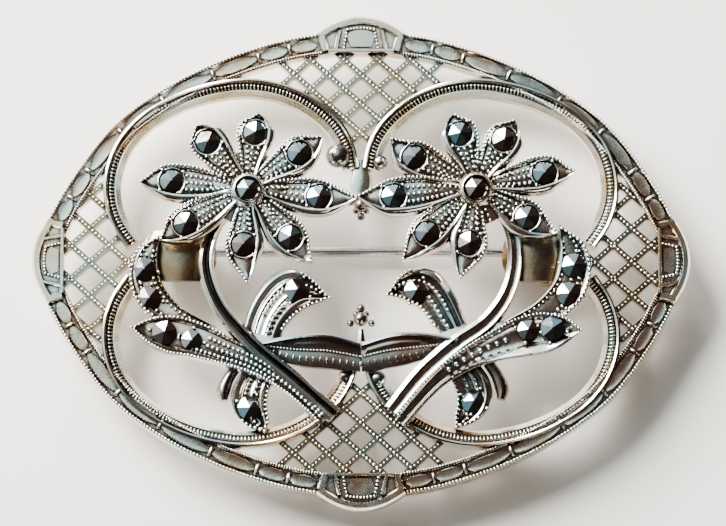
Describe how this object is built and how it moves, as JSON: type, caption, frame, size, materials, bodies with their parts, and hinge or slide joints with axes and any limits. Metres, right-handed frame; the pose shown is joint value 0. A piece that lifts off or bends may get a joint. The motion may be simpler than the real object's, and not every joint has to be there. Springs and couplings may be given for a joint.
{
  "type": "brooch",
  "caption": "Openwork silver brooch in a pointed oval frame with scrolls, crossed-wire panels, stone-set flowers and leaves, and a hinged pin with a turning safety catch.",
  "frame": {"origin": "centre of the bounding box, at the resting level of the pin fittings", "axes": "+X along the brooch's length, +Y up the face, +Z out of the face, which lies upwards"},
  "size_m": [0.05, 0.0382, 0.0071],
  "materials": {
    "silver_frame": "polished silver, tarnished in the hollows",
    "silver_spray": "polished silver, tarnished between the beads",
    "silver_fittings": "dull silver with warm tarnish",
    "steel_pin": "drawn steel wire",
    "marcasite": "cut and polished, metallic"
  },
  "bodies": {
    "root": {"bezel_left": "silver_spray", "bezel_right": "silver_spray", "border_lower_left": "silver_frame", "border_lower_right": "silver_frame", "border_upper_left": "silver_frame", "border_upper_right": "silver_frame", "catch_housing": "silver_fittings", "catch_plate": "silver_fittings", "curl_left": "silver_spray", "curl_right": "silver_spray", "finial_bottom": "silver_frame", "finial_top": "silver_frame", "flower_left": "silver_spray", "flower_right": "silver_spray", "hinge_bracket": "silver_fittings", "hinge_plate": "silver_fittings", "hinge_rivet": "silver_fittings", "inner_bud_left": "silver_spray", "inner_bud_right": "silver_spray", "keystone_bottom": "silver_frame", "keystone_left": "silver_frame", "keystone_right": "silver_frame", "keystone_top": "silver_frame", "lattice_bottom": "silver_frame", "lattice_left": "silver_frame", "lattice_right": "silver_frame", "lattice_top": "silver_frame", "lower_bud_left": "silver_spray", "lower_bud_right": "silver_spray", "lower_leaf_left": "silver_spray", "lower_leaf_right": "silver_spray", "marcasite_centre_left": "marcasite", "marcasite_centre_right": "marcasite", "marcasite_inner_bud_left": "marcasite", "marcasite_inner_bud_right": "marcasite", "marcasite_lower_bud_left": "marcasite", "marcasite_lower_bud_right": "marcasite", "marcasites_flower_left": "marcasite", "marcasites_flower_right": "marcasite", "marcasites_leaves_left": "marcasite", "marcasites_leaves_right": "marcasite", "scroll_lower_left": "silver_frame", "scroll_lower_right": "silver_frame", "scroll_upper_left": "silver_frame", "scroll_upper_right": "silver_frame", "stem_left": "silver_spray", "stem_right": "silver_spray", "tie": "silver_spray", "upper_leaf_left": "silver_spray", "upper_leaf_right": "silver_spray"},
    "pin": {"pin_stem": "steel_pin"},
    "rotor": {"catch_rotor": "silver_fittings"}
  },
  "joints": [
    {"name": "pin_hinge", "type": "hinge", "parent": "root", "child": "pin", "pos_m": [-0.0138, 0.0013, 0.0015], "axis": [0, 1, 0], "range_deg": [0, 110]},
    {"name": "catch_turn", "type": "hinge", "parent": "root", "child": "rotor", "pos_m": [0.01275, 0.0013, 0.0015], "axis": [1, 0, 0], "range_deg": [0, 100]}
  ]
}
